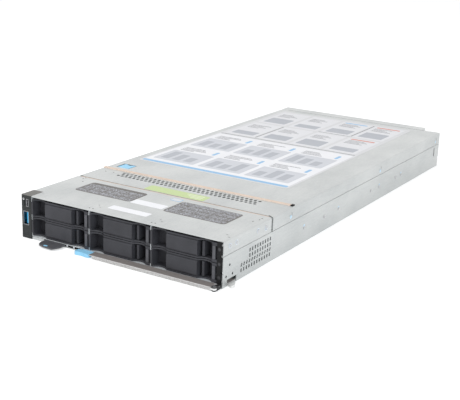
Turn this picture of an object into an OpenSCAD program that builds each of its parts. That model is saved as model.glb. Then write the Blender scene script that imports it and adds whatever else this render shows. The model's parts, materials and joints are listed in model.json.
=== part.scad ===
// Compute sled for a shared blade enclosure, lying on its underside.
// Seen from the front, +X is to the right, +Y runs to the rear and +Z is up.
// The origin is the middle of the underside. Plans are drawn from the front
// plane, where y = 0, and place() moves them onto the origin.

/* [Sled body] */
// Width over the side walls
sled_w = 250.2; // [245:0.1:260]
// Depth of the sheet metal body, front plane to rear wall
body_d = 566; // [556:1:600]
// Height over the top sheets
sled_h = 47; // [46.8:0.1:52]
// Thickness of the body's sheet metal
sheet_t = 1; // [0.8:0.1:1.2]
// Outer radius of the folded top edges
bend_r = 1.6; // [1.3:0.1:2.4]
// Height of the seam between the base and the sheets above it
seam_z = 32; // [28:0.5:34]
// Height of the crease along the side walls
crease_z = 14; // [12:0.5:18]
// How far the wall below the crease is set in
crease_in = 0.5; // [0.3:0.1:0.8]
// Clearance between the base and the sheets that close it
lid_gap = 0.3; // [0.2:0.05:0.4]
// Play left between neighbouring fixed pieces
part_gap = 0.2; // [0.1:0.05:0.3]
// Clearance of pieces that slide in the slot under the bays
slide_gap = 0.3; // [0.2:0.05:0.4]

/* [Top sheets] */
// Depth of the fixed front sheet
front_plate_d = 89.6; // [80:0.5:96]
// Gap between the front sheet and the cover, filled by a gasket
seam_gap_w = 3; // [2.4:0.1:4]
// Height of the gasket below the top faces
gasket_drop = 0.4; // [0.2:0.1:0.6]
// Reach of the front sheet's ledge under the cover
gasket_ledge = 5.4; // [4.6:0.1:8]
// First row of vent holes, from the front plane
vent_y = 119; // [116:0.5:122]
// Vent rows
vent_rows = 3; // [2:1:3]
// Holes in a vent row
vent_count = 34; // [20:1:36]
// Pitch of the vent holes
vent_pitch = 5.4; // [5:0.1:5.6]
// Width of a vent hole across its corners
vent_hole = 4.2; // [3:0.1:4.4]
// Place of the first vent hole from the left side
vent_x = 35; // [32:0.5:40]
// Front edge of the raised gasket bar
bar_y = 135.6; // [134.5:0.1:139]
// Width of the raised gasket bar
bar_w = 4.4; // [3.5:0.1:6]
// Height of the raised gasket bar
bar_h = 0.9; // [0.6:0.1:1.2]
// Length of the end cap on the bar
bar_cap_l = 3; // [2:0.1:5]
// Diameter of the dimples on the cover's flanges
dimple_d = 6; // [4:0.5:8]

/* [Cover latch] */
// Left edge of the latch well from the left side
well_x = 8.6; // [7:0.1:14]
// Front edge of the latch well
well_y = 146.4; // [145:0.1:152]
// Width of the latch well
well_w = 20; // [18:0.5:26]
// Depth of the latch well, front to rear
well_d = 18.4; // [17:0.2:22]
// How deep the latch well reaches below the top face
well_h = 4.6; // [4.2:0.1:5]
// Thickness of the latch handle
handle_t = 2.4; // [2.2:0.1:2.8]
// Width of the latch handle
handle_w = 14.6; // [12:0.2:15.6]
// Radius of the latch handle's pin
latch_pin_r = 0.8; // [0.6:0.05:0.9]
// Running clearance of pins in their bores
run_gap = 0.06; // [0.03:0.01:0.09]

/* [Control panel] */
// Width of the control panel on the left ear
panel_w = 13.2; // [12.8:0.1:14]
// How far the control panel wraps onto the top
panel_d = 19; // [17:0.5:24]
// How far the control panel stands in front of the bays
panel_proud = 0.8; // [0.4:0.1:1.5]
// Wall of the control panel's moulding
panel_wall = 1.4; // [1.2:0.1:1.6]
// Height of the slit between the panel's two covers
panel_slit_z = 32; // [31.4:0.1:32.6]
// Width of the wide data port's shell
usb_w = 7.2; // [6.6:0.1:7.4]
// Height of the wide data port's shell
usb_h = 14.8; // [13:0.1:15.2]
// Height of the wide data port's middle
usb_z = 22; // [21:0.5:24]
// Width of the small data port's shell
micro_w = 3.2; // [2.8:0.1:3.4]
// Height of the small data port's shell
micro_h = 7.8; // [7.4:0.1:8.4]
// Height of the small data port's middle
micro_z = 38.9; // [38.5:0.1:39.4]
// Width of the power button
button_w = 7; // [6:0.1:7.2]
// Height of the power button
button_h = 7.8; // [7:0.1:8.4]
// Height of the power button's middle
button_z = 6.6; // [6.4:0.1:8]
// Travel of the power button
button_travel = 1; // [0.6:0.1:1.2]

/* [Drive bays] */
// Columns of bays
bay_cols = 3; // [3:1:3]
// Width kept for the bezel and the wall to the right of the bays
bezel_space = 6.4; // [6.2:0.1:7]
// Height of a bay row
bay_pitch_z = 20.2; // [20:0.1:20.6]
// Height of the bays' floor
bay_floor_z = 4; // [3.9:0.1:4.3]
// Thickness of the cage sheets
cage_t = 0.6; // [0.5:0.1:0.7]
// How far the cage runs on behind the front sheet's ledge
cage_back = 13; // [11:0.5:15]
// Play beside, below and above a module in its bay
bay_clear = 0.35; // [0.25:0.05:0.4]

/* [Bay modules] */
// Room behind a module for its plug
plug_room = 12; // [10:0.5:16]
// Thickness of the rims above and below the face
rim_t = 1.5; // [1.2:0.1:1.8]
// Thickness of the side walls
blank_side = 1.8; // [1.6:0.1:2]
// Width of the left finger recess, as a share of a module's width
recess_share = 0.219; // [0.2:0.001:0.24]
// Depth of the left finger recess
recess_d = 11; // [8:0.5:12]
// Width of the face plate, as a share of a module's width
plate_share = 0.47; // [0.42:0.005:0.49]
// How far the face plate stands proud
plate_proud = 0.8; // [0.5:0.1:1.2]
// Bevel of the face plate
plate_bevel = 1.1; // [0.8:0.1:1.4]
// Groove between the face plate and the rims
plate_groove = 0.8; // [0.6:0.1:1]
// How far the rims curve back at the recesses
scoop_d = 3.5; // [2.5:0.1:4.5]
// Depth of the right pocket behind the grip bar
pocket_d = 13.4; // [11:0.2:14]
// Width of the fixed grip bar
grip_w = 2.6; // [2.2:0.1:4]
// Gap between the face plate and the grip bar
grip_gap = 3.4; // [3:0.1:5]
// How far the grip bar stands back
grip_back = 3; // [1.5:0.1:3.5]
// Width of the squeeze latch's bar
latch_w = 3.2; // [2.8:0.1:3.4]
// Length of the squeeze latch, bar to pivot
latch_l = 21.5; // [20:0.5:24]
// Radius of the squeeze latch's pivot post
post_r = 1; // [0.8:0.05:1.2]
// Full swing of the squeeze latch, in degrees
latch_swing = 8; // [5:0.5:9]

/* [Release lever] */
// Left end of the lever's bar from the left side
lever_start = 102.6; // [98:0.2:112]
// How far the bar's left end is cut back at the rear
lever_slant = 4; // [2:0.2:5]
// Depth of the lever's bar, front to rear
lever_d = 10.8; // [9:0.2:12]
// Height of the lever's bar
lever_h = 3.8; // [3.4:0.1:4]
// Distance of the pivot from the right side
pivot_in = 4.1; // [3.9:0.05:4.3]
// Distance of the pivot in front of the front plane
pivot_out = 8.5; // [7.5:0.1:9]
// Radius of the pivot pin
pivot_r = 1.5; // [1.2:0.05:1.6]
// How far the hook reaches out of the side wall
hook_out = 6.8; // [4:0.1:7]
// Front edge of the hook at the side wall
hook_y = 9.8; // [9.4:0.1:11]
// How far the hook's tip leans forward
hook_lead = 4.2; // [3:0.1:5]
// Depth of the hook at the side wall
hook_d = 12.2; // [10:0.2:13]
// Length of the blue lever latch
catch_l = 18.8; // [18:0.2:24]
// Travel of the blue lever latch
catch_travel = 4; // [2.5:0.1:4.5]

/* [Information tag] */
// Left edge of the tag from the left side
tag_x = 32.4; // [30:0.2:33]
// Width of the tag
tag_w = 26; // [24:0.2:30]
// How far the tag stands out at rest
tag_out = 16.5; // [12:0.5:18]
// Length of the tag inside the sled
tag_in = 58; // [50:0.5:60]
// Width of the guide to the right of the tag
guide_right = 13.5; // [12:0.5:16]

/* [Boards inside] */
// Height of the system board's underside
board_z = 5; // [4.5:0.1:5.5]
// Thickness of every circuit board
board_t = 1.6; // [1.4:0.1:1.8]
// Room between the cage and the system board
board_front = 8; // [6:0.5:10]
// Room between the system board and the rear of the body
board_back = 6; // [4:0.5:10]
// Room in front of the first memory sockets
intake_room = 27.3; // [25:0.1:29]
// Distance between the two processors
cpu_pitch = 150; // [148:0.5:152]
// Room between a heat sink and the memory beside it
sink_room = 4.5; // [4:0.1:6]
// Depth of the heat sinks
sink_d = 108; // [100:1:112]
// Pitch of the heat sinks' fins
fin_pitch = 3; // [2.8:0.1:4]
// Thickness of a fin
fin_t = 0.8; // [0.6:0.1:1]
// Memory modules on each side of a processor
dimm_count = 8; // [4:1:8]
// Pitch of the memory modules
dimm_pitch = 7.4; // [7.2:0.1:7.5]
// Margin of the system board outside the memory
dimm_margin = 7.1; // [6:0.1:8]
// Length of a memory module
dimm_l = 133.4; // [130:0.2:135]
// Height of a memory module
dimm_h = 31.2; // [29:0.2:31.4]
// Thickness of a memory module's board
dimm_t = 1.4; // [1.2:0.1:1.6]

/* [Rear] */
// How far the rear shroud stands behind the body
tongue_d = 18; // [14:0.5:20]
// Width of the rear shroud from the left side
tongue_w = 222; // [218:0.5:226]
// Wall of the rear shroud
tongue_wall = 1.6; // [1.2:0.1:2]

/* [Hidden] */
$fn = 48;

bay_rows = 2;
cut = 1;               // how far a cutting shape runs past the surface it opens
left_x = -sled_w / 2;
right_x = sled_w / 2;
top_in = sled_h - sheet_t;             // underside of the top sheets
leaf_out = right_x - sheet_t - lid_gap;   // outer face of the base's upper leaf
leaf_in = leaf_out - sheet_t;
leaf_top = top_in - lid_gap;
low_in = right_x - crease_in - sheet_t;   // inner face of the wall below the crease
cover_y = front_plate_d + seam_gap_w;     // front edge of the cover
ledge_z = top_in - part_gap;              // top of the ledge that carries the gasket

slot_top = bay_floor_z - cage_t;       // the slot under the bays: floor sheet to cage floor
slide_z = sheet_t + slide_gap;
slide_h = slot_top - sheet_t - 2 * slide_gap;

bay_pitch_x = (sled_w - panel_w - part_gap - cage_t - bezel_space) / bay_cols;
cage_d = front_plate_d + gasket_ledge + cage_back;
blank_d = cage_d - plug_room;
divider_x = [for (i = [0 : bay_cols]) left_x + panel_w + part_gap + cage_t / 2 + i * bay_pitch_x];
blank_w = bay_pitch_x - cage_t - 2 * bay_clear;
blank_h = bay_pitch_z - 2 * bay_clear;
latch_z = rim_t + 1.5;                 // the squeeze latch stands this far inside a face's height
hook_bite = 0.1;                       // how far its hook reaches into the divider's notch at rest
latch_x = blank_w - blank_side - latch_w;
post_y = latch_l;
notch_d = latch_l + 4;                 // depth of the notches in the dividers' front edges
rail_h = 1.4;                          // rails on the dividers and their grooves
rail_in = 0.6;
rail_z = 5;
groove_d = 1;
recess_w = recess_share * blank_w;
plate_w = plate_share * blank_w;
plate_x = blank_side + recess_w;
pocket_x = plate_x + plate_w;

bezel_x = divider_x[bay_cols] - cage_t / 2 + hook_bite + slide_gap;
bezel_w = right_x - sheet_t - part_gap - bezel_x;
bezel_in_x = divider_x[bay_cols] + cage_t / 2 + part_gap;
bezel_proud = 1;
bezel_z = bay_floor_z + part_gap;
bezel_screw_x = (bezel_in_x + leaf_in) / 2;
flange_y = 2.4;
bezel_screw_z = [10.5, 24, 38.5];

pivot_x = right_x - pivot_in;
lever_end_x = pivot_x - pivot_r - 1.5;
lever_x = left_x + lever_start;
eye_r = pivot_r + 1;
bracket_t = 0.8;
hook_top = 6.6;                        // top of the hook's cut-out in the side wall
hook_side_gap = 1.6;
hook_swing_gap = 3;
lever_bay_x = 38;                      // the floor is open this far in from the right side
lever_bay_y = hook_y + hook_d + hook_swing_gap + 1;
catch_lap = lever_slant + 0.2;         // the latch ends beside the slanted end
stud_r = 1.3;
stud_pitch = 7;
guide_left = 2.4;                      // width of the tag's guide to the left of the tag
hem_h = 2;                             // height of the floor's hem beside the guide

port_x = left_x + panel_wall + usb_w / 2 + 1.2;
micro_x = port_x + usb_w / 2 - micro_w / 2;
button_x = left_x + panel_wall + button_w / 2 + 0.7;
micro_hole_w = 5.6;                    // the small port stands at the right of a wider window
port_board_x = port_x + usb_w / 2 + 0.1;
button_slit = 0.3;

plug_wall = 0.4;
screw_r = 1.2;
screw_head_r = 2.8;
screw_head_h = 1.2;
bezel_head_r = 1.7;

board_y = cage_d + board_front;
board_d = body_d - board_y - board_back;
board_w = 2 * low_in - 10;
board_top = board_z + board_t;
socket_h = 3.6;
cpu_h = 4.2;
package_w = 56;
package_d = 76;
sink_z = board_top + socket_h + cpu_h;
sink_base = 4;
sink_top = top_in - 2;
sink_screw_in = 5;
dimm_socket_l = dimm_l + 8;
dimm_socket_w = 6.2;
dimm_socket_h = 7.4;
dimm_seat = 5;
dimm_z = board_top + dimm_socket_h - dimm_seat;
dimm_x = board_w / 2 - dimm_margin - dimm_socket_w / 2 - (dimm_count - 1) * dimm_pitch;
sink_w = 2 * (dimm_x - dimm_socket_w / 2 - sink_room);
cpu_y = board_y + dimm_socket_l / 2 + intake_room;
standoffs = [for (x = [-1, 0, 1], y = [0.02, 0.38, 0.72, 0.98])
    [x * (board_w / 2 - 4), board_y + y * board_d]];

card_y = cpu_y + cpu_pitch + dimm_socket_l / 2 + 10;
card_d = body_d - sheet_t - part_gap - card_y;
card_z = board_top + 9;
card_w = 66;
card_a_x = left_x + 12;
card_b_x = card_a_x + card_w + 6;
plug_d = 12;                           // how far the rear plugs stand out of the rear wall
plug_h = 18;
plug_w = 54;
power_w = 46;
power_x = card_b_x + card_w + 8;

handle_y = well_y + sheet_t + 0.4;
handle_d = well_d - 2 * sheet_t - 1;
handle_top = sled_h - 0.2;
handle_x = left_x + well_x + (well_w - handle_w) / 2;
hinge_y = handle_y + handle_t / 2;
hinge_z = handle_top - handle_t / 2;
seam_line = 0.4;                       // visible line between the base and the sheets above

side_rivet_yz = [[162, 17], [210, 17], [246, 17], [336, 17], [361, 17], [412, 17], [430, 17]];
plate_rivet_y = [11, 23, 63, 79];

module place() { translate([0, -body_d / 2, 0]) children(); }

module at_sides() {
    children();
    mirror([1, 0, 0]) children();
}

// A box given by its two corners.
module span(a, b) { translate(a) cube([b[0] - a[0], b[1] - a[1], b[2] - a[2]]); }

// A cylinder that lies along X, starting at the point p.
module rod_x(p, r, l) { translate(p) rotate([0, 90, 0]) cylinder(r = r, h = l); }

// A cylinder that lies along Y, starting at the point p.
module rod_y(p, r, l) { translate(p) rotate([-90, 0, 0]) cylinder(r = r, h = l); }

// A flat shape drawn in X and Z, extruded from y0 to y1.
module along_y(y0, y1) { translate([0, y1, 0]) rotate([90, 0, 0]) linear_extrude(y1 - y0) children(); }

// A flat shape drawn in Y and Z, extruded from x0 to x1.
module along_x(x0, x1) {
    translate([x0, 0, 0]) rotate([90, 0, 90]) linear_extrude(x1 - x0) children();
}

// A rectangle with round corners, made of squares and circles.
module round_rect(w, d, r) {
    translate([r, 0]) square([w - 2 * r, d]);
    translate([0, r]) square([w, d - 2 * r]);
    for (x = [r, w - r], y = [r, d - r]) translate([x, y]) circle(r = r);
}

// Cross-section of a sheet folded down over both sides.
module folded_sheet() {
    difference() {
        intersection() {
            translate([left_x, sled_h - 3 * seam_z]) round_rect(sled_w, 3 * seam_z, bend_r);
            translate([left_x, seam_z]) square([sled_w, sled_h - seam_z]);
        }
        translate([left_x + sheet_t, top_in - 3 * seam_z])
            round_rect(sled_w - 2 * sheet_t, 3 * seam_z, bend_r - sheet_t);
    }
}

// Cross-section of the base: floor, creased walls, and upper leaves stepped in by a joggle.
module base_section() {
    outer = [[right_x - crease_in, 0], [right_x - crease_in, crease_z - crease_in],
        [right_x, crease_z], [right_x, seam_z - seam_line], [leaf_out, seam_z - seam_line],
        [leaf_out, leaf_top]];
    inner = [[leaf_in, leaf_top], [leaf_in, seam_z - seam_line - sheet_t],
        [right_x - sheet_t, seam_z - seam_line - sheet_t], [right_x - sheet_t, crease_z],
        [low_in, crease_z - crease_in], [low_in, sheet_t]];
    half = concat(outer, inner);
    last = len(half) - 1;
    polygon(concat(half, [for (i = [last : -1 : 0]) [-half[i][0], half[i][1]]]));
}

// Vent grid on a side wall: two long rows below two short ones.
module side_vents() {
    slot_w = 2.2;
    slot_h = 3.8;
    pitch_y = 5;
    pitch_z = 5.6;
    short_row = 9;
    long_row = 12;
    last_y = front_plate_d;
    low_z = 6.5;
    for (row = [0 : 3], i = [0 : (row < 2 ? long_row : short_row) - 1])
        translate([leaf_in - cut, last_y - i * pitch_y - slot_w, low_z + row * pitch_z])
            cube([right_x - leaf_in + 2 * cut, slot_w, slot_h]);
}

module chassis_base() {
    handle_slot = [body_d - 19, 17, 29];
    side_holes = [[11.4, 21], [17.8, 10.3], [6.2, 10.1]];
    hole_r = 1.3;
    color("gainsboro") place() {
        difference() {
            along_y(0, body_d) base_section();
            // Corner taken by the control panel
            span([left_x - cut, -cut, -cut],
                [left_x + panel_w + part_gap, panel_d + part_gap, sled_h + cut]);
            // Lever bay in the floor, and the hook's cut-out in the right wall
            span([right_x - lever_bay_x, -cut, -cut], [low_in, lever_bay_y, sheet_t + cut]);
            span([low_in - cut, hook_y - hook_side_gap, -cut],
                [right_x + cut, hook_y + hook_d + hook_swing_gap, hook_top]);
            at_sides() {
                side_vents();
                span([low_in - cut, handle_slot[0], handle_slot[1]],
                    [right_x + cut, handle_slot[0] + 2.4, handle_slot[2]]);
            }
            for (h = side_holes) rod_x([leaf_in - cut, h[0], h[1]], hole_r, 5 * cut);
        }
        rear_wall();
        // Hem at the floor's front edge, between the control panel and the tag's guide
        span([left_x + panel_w + part_gap, 0, sheet_t / 2],
            [left_x + tag_x - guide_left - part_gap, sheet_t, sheet_t + hem_h]);
        // Flange behind the right bezel
        difference() {
            union() {
                span([bezel_in_x, flange_y, bezel_z], [leaf_in + sheet_t / 2, flange_y + sheet_t, leaf_top]);
                span([bezel_in_x, flange_y, bezel_z],
                    [right_x - sheet_t / 2, flange_y + sheet_t, seam_z - seam_line - sheet_t / 2]);
            }
            for (z = bezel_screw_z) rod_y([bezel_screw_x, 0, z], screw_r, 4 * flange_y);
        }
        // Spacers under the cage, studs that guide the lever latch, and board standoffs
        for (x = [left_x / 4, right_x / 4, right_x / 2], y = [cage_d * 0.55, cage_d * 0.92])
            translate([x, y, sheet_t]) cylinder(r = 4, h = slot_top - sheet_t);
        for (i = [0, 1]) translate([stud_x(), stud_y(i), sheet_t])
            cylinder(r = stud_r, h = slide_h + slide_gap);
        for (p = standoffs) translate([p[0], p[1], sheet_t]) cylinder(r = 3.2, h = board_z - sheet_t);
    }
}

module rear_wall() {
    wall_y = body_d - sheet_t;
    difference() {
        span([-leaf_in, wall_y, sheet_t / 2], [leaf_in, body_d, leaf_top]);
        for (x = [card_a_x, card_b_x]) rear_window(x + (card_w - plug_w) / 2, plug_w);
        rear_window(power_x, power_w);
        for (i = [0 : 7]) rod_y([right_x - 12, wall_y - cut, 8 + 4.4 * i], 1.6, sheet_t + 2 * cut);
    }
}

module rear_window(x, w) {
    span([x - part_gap, body_d - 2 * sheet_t, card_z - 2 - part_gap],
        [x + w + part_gap, body_d + cut, card_z - 2 + plug_h + part_gap]);
}

module front_top_plate() {
    color("gainsboro") place() difference() {
        union() {
            along_y(0, front_plate_d) folded_sheet();
            // Joggle and ledge that carry the gasket under the cover's front edge
            span([-leaf_in + part_gap, front_plate_d - sheet_t, ledge_z - sheet_t],
                [leaf_in - part_gap, front_plate_d, top_in + sheet_t / 2]);
            span([-leaf_in + part_gap, front_plate_d - sheet_t, ledge_z - sheet_t],
                [leaf_in - part_gap, front_plate_d + gasket_ledge, ledge_z]);
        }
        span([left_x - cut, -cut, -cut],
            [left_x + panel_w + part_gap, panel_d + part_gap, sled_h + cut]);
        // Lance marks above each divider
        for (x = divider_x, i = [0, 1])
            translate([x + 2.5 - 5 * i, 13 + 5 * i, top_in - cut]) cube([2.2, 0.9, sheet_t + 2 * cut]);
    }
}

module drive_cage() {
    strap_d = 8;
    color("silver") place() {
        span([divider_x[0] - cage_t / 2, 0, slot_top],
            [divider_x[bay_cols] + cage_t / 2, cage_d, bay_floor_z]);
        span([divider_x[0] - cage_t / 2, cage_d - strap_d, leaf_top - cage_t],
            [divider_x[bay_cols] + cage_t / 2, cage_d, leaf_top]);
        for (i = [0 : bay_cols]) difference() {
            union() {
                span([divider_x[i] - cage_t / 2, 0, slot_top], [divider_x[i] + cage_t / 2, cage_d, leaf_top]);
                for (row = [0 : bay_rows - 1], s = [-1, 1]) divider_rail(i, row, s);
            }
            for (row = [0 : bay_rows - 1])
                span([divider_x[i] - cage_t, -cut, blank_z(row) + latch_z],
                    [divider_x[i] + cage_t, notch_d, blank_z(row) + blank_h - latch_z]);
            // Room for the ledge of the front sheet
            span([divider_x[i] - cage_t, front_plate_d - sheet_t - 1, ledge_z - sheet_t - slide_gap],
                [divider_x[i] + cage_t, front_plate_d + gasket_ledge + 1, sled_h]);
        }
    }
}

// A rail pressed out of a divider: the groove in a module's side runs along it.
module divider_rail(i, row, s) {
    rail_y = notch_d + 4;
    reach = cage_t / 2 + bay_clear + rail_in;
    if ((s > 0 && i < bay_cols) || (s < 0 && i > 0))
        translate([divider_x[i] + (s > 0 ? 0 : -reach), rail_y, blank_z(row) + rail_z + bay_clear])
            cube([reach, blank_d - rail_y - 2, rail_h]);
}

function blank_z(row) = bay_floor_z + bay_clear + row * bay_pitch_z;
function blank_x(col) = divider_x[col] + cage_t / 2 + bay_clear;

// Puts a module's own coordinates at bay n, counted from 1 along the lower row and then the upper.
module at_bay(n) {
    col = (n - 1) % bay_cols;
    row = floor((n - 1) / bay_cols);
    place() translate([blank_x(col), 0, blank_z(row)]) children();
}

// A round scoop that curves the rims back between x0 and x1.
module rim_scoop(x0, x1) {
    half = (x1 - x0) / 2;
    r = (half * half + scoop_d * scoop_d) / (2 * scoop_d);
    translate([x0 + half, scoop_d - r, -cut]) cylinder(r = r, h = blank_h + 2 * cut, $fn = 96);
}

// Bay filler module: moulded face with a finger recess, a flat plate and a squeeze pocket,
// on an open frame with ribs. A groove on each side runs on the cage's rails.
module bay_blank(n) {
    face_d = pocket_d + 2;
    web_t = 1.4;
    lip_x = bay_clear + cage_t - hook_bite - slide_gap;
    slot_x = latch_x - 1.6;
    color([0.16, 0.16, 0.17]) at_bay(n) difference() {
        union() {
            difference() {
                cube([blank_w, face_d, blank_h]);
                // Left finger recess and right pocket
                span([blank_side, -cut, rim_t], [plate_x, recess_d, blank_h - rim_t]);
                span([pocket_x, -cut, rim_t], [latch_x - slide_gap, pocket_d, blank_h - rim_t]);
                rim_scoop(blank_side, plate_x);
                rim_scoop(pocket_x, latch_x - slide_gap);
                for (z = [rim_t, blank_h - rim_t - plate_groove])
                    span([plate_x, -cut, z], [pocket_x, plate_groove, z + plate_groove]);
            }
            face_plate();
            // Fixed grip bar and the ridge that covers the divider's edge
            span([pocket_x + grip_gap, grip_back, rim_t + 1],
                [pocket_x + grip_gap + grip_w, pocket_d + cut, blank_h - rim_t - 1]);
            span([0, -bay_clear - cage_t, latch_z], [blank_side, cut, blank_h - latch_z]);
            span([-lip_x, -bay_clear - cage_t, latch_z], [cut, -bay_clear, blank_h - latch_z]);
            blank_frame(face_d, web_t);
        }
        // Hollow behind the plate, and the grooves for the cage's rails
        span([plate_x + 1.2, 2.4, rim_t], [pocket_x - 1.2, face_d, blank_h - rim_t]);
        for (x = [-cut, blank_w - groove_d])
            span([x, notch_d, rail_z], [x + groove_d + cut, blank_d + cut, rail_z + rail_h + 2 * bay_clear]);
        // Slot for the squeeze latch, open to the front and to the right
        difference() {
            span([latch_x - slide_gap, -cut, latch_z], [blank_w + cut, post_y + 4, blank_h - latch_z]);
            translate([latch_post_x(), post_y, 0]) cylinder(r = post_r, h = blank_h);
        }
        difference() {
            span([slot_x, pocket_d - cut, latch_z], [blank_w + cut, post_y + 3, blank_h - latch_z]);
            translate([latch_post_x(), post_y, 0]) cylinder(r = post_r, h = blank_h);
        }
    }
}

function latch_post_x() = latch_x + latch_w / 2;

// The plate on a module's face, bevelled above and below.
module face_plate() {
    z0 = rim_t + plate_groove;
    z1 = blank_h - z0;
    along_x(plate_x, pocket_x) polygon([[3, z0], [plate_bevel - plate_proud, z0],
        [-plate_proud, z0 + plate_bevel], [-plate_proud, z1 - plate_bevel],
        [plate_bevel - plate_proud, z1], [3, z1]]);
}

// The open frame behind a module's face.
module blank_frame(y0, web_t) {
    bars = 3;
    step = (blank_d - y0) / bars;
    difference() {
        span([0, y0 - cut, 0], [blank_w, blank_d, blank_h]);
        for (z = [-cut, blank_h / 2 + web_t / 2])
            span([blank_side, y0, z], [blank_w - blank_side - latch_w - 4, blank_d - blank_side,
                z + blank_h / 2 - web_t / 2 + cut]);
        span([blank_w - blank_side - latch_w - 4 + web_t, y0, web_t],
            [blank_w - blank_side, blank_d - blank_side, blank_h - web_t]);
        // Air windows in the web
        for (i = [0 : bars - 1], x = [0.1, 0.52])
            translate([x * blank_w, y0 + (i + 0.15) * step, 0]) cube([0.36 * blank_w, 0.7 * step, blank_h]);
    }
    // Cross ribs over the web
    for (i = [1 : bars - 1]) span([blank_side - cut, y0 + i * step - web_t / 2, 2],
        [blank_w - blank_side - latch_w - 4 + cut, y0 + i * step + web_t / 2, blank_h - 2]);
}

// Squeeze latch: an arm on the module's post, with the bar that is pressed and the side hook.
module bay_latch(n) {
    clear = 0.2;
    tip_x = blank_w + bay_clear + hook_bite;
    hook_mid = post_y * 0.55;
    color([0.3, 0.3, 0.32]) at_bay(n) translate([0, 0, latch_z + clear])
        linear_extrude(blank_h - 2 * (latch_z + clear)) difference() {
            union() {
                translate([latch_x, -clear]) square([latch_w, post_y]);
                translate([latch_post_x(), post_y]) circle(r = latch_w / 2 + clear);
                polygon([[latch_x + latch_w - clear, hook_mid - 5], [tip_x, hook_mid],
                    [tip_x, hook_mid + 1.6], [latch_x + latch_w - clear, hook_mid + 1.6]]);
            }
            translate([latch_post_x(), post_y]) circle(r = post_r + run_gap);
            // Thumb groove in the pressed face
            translate([latch_x - 5.4, 3.2]) circle(r = 6);
        }
}

module right_bezel() {
    notch_z = [6, 15, 31, 42];
    top_z = sled_h - sheet_t - part_gap;
    color([0.13, 0.13, 0.14]) place() difference() {
        union() {
            span([bezel_x, -bezel_proud, bezel_z], [bezel_x + bezel_w, -part_gap, top_z]);
            span([bezel_in_x, -bezel_proud, bezel_z], [leaf_in - part_gap, flange_y, top_z]);
        }
        for (z = notch_z) span([bezel_x + bezel_w - 1.2, -cut - bezel_proud, z], [right_x, 0, z + 2]);
        for (z = bezel_screw_z) {
            rod_y([bezel_screw_x, -2 * bezel_proud, z], screw_r, 4 * flange_y);
            rod_y([bezel_screw_x, -bezel_proud - cut, z], bezel_head_r + 0.1, cut + 1.1);
        }
    }
}

module bezel_screws() {
    color("dimgray") place() for (z = bezel_screw_z) {
        rod_y([bezel_screw_x, 0.2 - bezel_proud, z], bezel_head_r, 0.9);
        rod_y([bezel_screw_x, 1 - bezel_proud, z], screw_r - 0.1, flange_y + sheet_t + 1);
    }
}

// A rectangular hole through the control panel's face.
module panel_hole(x, z, w, h) {
    translate([x - w / 2, -panel_proud - cut, z - h / 2]) cube([w, panel_proud + panel_wall + 2 * cut, h]);
}

module control_panel() {
    slit = 0.4;
    color([0.24, 0.25, 0.24]) place() difference() {
        span([left_x, -panel_proud, 0], [left_x + panel_w, panel_d, sled_h]);
        span([left_x + panel_wall, panel_wall, panel_wall],
            [left_x + panel_w - panel_wall, panel_d + cut, sled_h - panel_wall]);
        panel_hole(port_x, usb_z, usb_w + 2 * part_gap, usb_h + 2 * part_gap);
        panel_hole(micro_x + micro_w / 2 + part_gap - micro_hole_w / 2, micro_z, micro_hole_w,
            micro_h + 2 * part_gap);
        panel_hole(button_x, button_z, button_w + 2 * button_slit, button_h + 2 * button_slit);
        span([left_x - cut, -panel_proud - cut, panel_slit_z],
            [left_x + panel_w + cut, -panel_proud + slit, panel_slit_z + slit]);
        // Chamfer along the outer front edge
        translate([left_x, -panel_proud, -cut]) rotate([0, 0, 45]) cube([1, 1, 3 * sled_h], center = true);
    }
}

module control_board() {
    tail = 14;
    color("darkgreen") place() {
        span([port_board_x, panel_wall + 1.6, panel_wall + 2],
            [port_board_x + board_t - 0.2, panel_d + tail, sled_h - panel_wall - 2]);
        // Switch behind the power button
        span([button_x - 2, panel_wall + 5, button_z - 2], [port_board_x, panel_wall + 8, button_z + 2]);
    }
}

// A port's shell, open to the front.
module port_shell(x, z, w, h, l) {
    difference() {
        span([x - w / 2, -panel_proud + 0.1, z - h / 2], [x + w / 2, l, z + h / 2]);
        span([x - w / 2 + plug_wall, -panel_proud - cut, z - h / 2 + plug_wall],
            [x + w / 2 - plug_wall, l - 1, z + h / 2 - plug_wall]);
    }
}

module usb_port() {
    color("silver") place() port_shell(port_x, usb_z, usb_w, usb_h, 14);
}

module usb_tongue() {
    color([0.2, 0.6, 0.8]) place()
        span([port_x - 0.2, 1, usb_z - usb_h / 2 + 1.4], [port_x + 1.8, 13, usb_z + usb_h / 2 - 1.4]);
}

module micro_usb_port() {
    color("silver") place() {
        port_shell(micro_x, micro_z, micro_w, micro_h, 7);
        span([micro_x - 0.5, 1, micro_z - micro_h / 2 + 1.2],
            [micro_x + 0.3, 6.2, micro_z + micro_h / 2 - 1.2]);
        // Foot that rests on the board
        span([micro_x + micro_w / 2 - plug_wall, 4, micro_z - 2], [port_board_x, 6.8, micro_z + 2]);
    }
}

module power_button() {
    head_y = -panel_proud + 0.2;
    flange = 0.9;
    flange_side = 0.4;
    flange_y0 = panel_wall + slide_gap;
    color([0.3, 0.31, 0.3]) place() {
        span([button_x - button_w / 2, head_y, button_z - button_h / 2],
            [button_x + button_w / 2, flange_y0 + cut, button_z + button_h / 2]);
        span([button_x - button_w / 2 - flange_side, flange_y0, button_z - button_h / 2 - flange],
            [button_x + button_w / 2 + flange_side, flange_y0 + 1, button_z + button_h / 2 + flange]);
        rod_y([button_x, flange_y0, button_z], 1.2, panel_wall + 5 - flange_y0 - button_travel - slide_gap);
    }
}

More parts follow.
